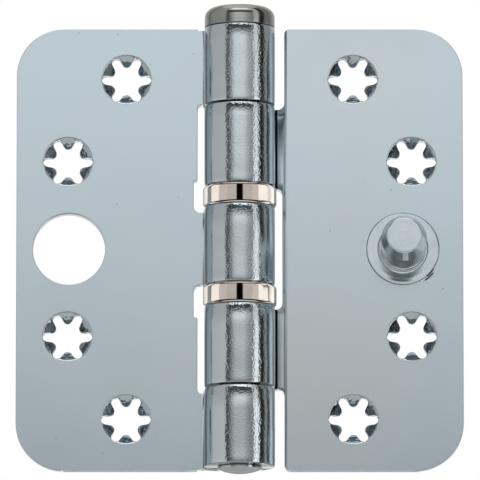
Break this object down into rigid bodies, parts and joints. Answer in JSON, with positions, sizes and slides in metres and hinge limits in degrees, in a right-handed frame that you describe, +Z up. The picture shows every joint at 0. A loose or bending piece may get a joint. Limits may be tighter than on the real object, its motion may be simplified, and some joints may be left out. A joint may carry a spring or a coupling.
{
  "type": "ball bearing butt hinge",
  "caption": "Square zinc-plated butt hinge with rolled knuckles, ball bearings between them, a headed pin, star-shaped countersunk holes and a security peg.",
  "frame": {"origin": "on the axis of the pin, at the middle of the leaves' height", "axes": "+Z up along the pin to its head, +X to the right leaf, knuckles stand out towards -Y"},
  "size_m": [0.089, 0.0213, 0.094],
  "materials": {
    "zinc_plate": "satin zinc plate",
    "pin_steel": "dull turned steel",
    "peg_steel": "turned, zinc plated",
    "bearing_shell": "polished nickel plate",
    "bearing_steel": "ground bearing steel"
  },
  "bodies": {
    "left_side": {"left_leaf": "zinc_plate", "hinge_pin": "pin_steel", "upper_bearing_shell": "bearing_shell", "upper_bottom_race": "bearing_steel", "lower_top_race": "bearing_steel"},
    "right_side": {"right_leaf": "zinc_plate", "security_peg": "peg_steel", "upper_top_race": "bearing_steel", "lower_bearing_shell": "bearing_shell", "lower_bottom_race": "bearing_steel"},
    "upper_balls": {"upper_ball_01": "bearing_steel", "upper_ball_02": "bearing_steel", "upper_ball_03": "bearing_steel", "upper_ball_04": "bearing_steel", "upper_ball_05": "bearing_steel", "upper_ball_06": "bearing_steel", "upper_ball_07": "bearing_steel", "upper_ball_08": "bearing_steel", "upper_ball_09": "bearing_steel", "upper_ball_10": "bearing_steel", "upper_ball_11": "bearing_steel", "upper_ball_12": "bearing_steel", "upper_ball_13": "bearing_steel"},
    "lower_balls": {"lower_ball_01": "bearing_steel", "lower_ball_02": "bearing_steel", "lower_ball_03": "bearing_steel", "lower_ball_04": "bearing_steel", "lower_ball_05": "bearing_steel", "lower_ball_06": "bearing_steel", "lower_ball_07": "bearing_steel", "lower_ball_08": "bearing_steel", "lower_ball_09": "bearing_steel", "lower_ball_10": "bearing_steel", "lower_ball_11": "bearing_steel", "lower_ball_12": "bearing_steel", "lower_ball_13": "bearing_steel"}
  },
  "joints": [
    {"name": "leaf_swing", "type": "hinge", "parent": "left_side", "child": "right_side", "pos_m": [0, 0, 0], "axis": [0, 0, 1], "range_deg": [-180, 105]},
    {"name": "upper_ball_roll", "type": "hinge", "parent": "left_side", "child": "upper_balls", "pos_m": [0, 0, 0.0102], "axis": [0, 0, 1], "range_deg": [-90, 52.5]},
    {"name": "lower_ball_roll", "type": "hinge", "parent": "left_side", "child": "lower_balls", "pos_m": [0, 0, -0.0098], "axis": [0, 0, 1], "range_deg": [-90, 52.5]}
  ],
  "couplings": [
    {"joint": "upper_ball_roll", "follows": "leaf_swing", "ratio": 0.5},
    {"joint": "lower_ball_roll", "follows": "leaf_swing", "ratio": 0.5}
  ]
}
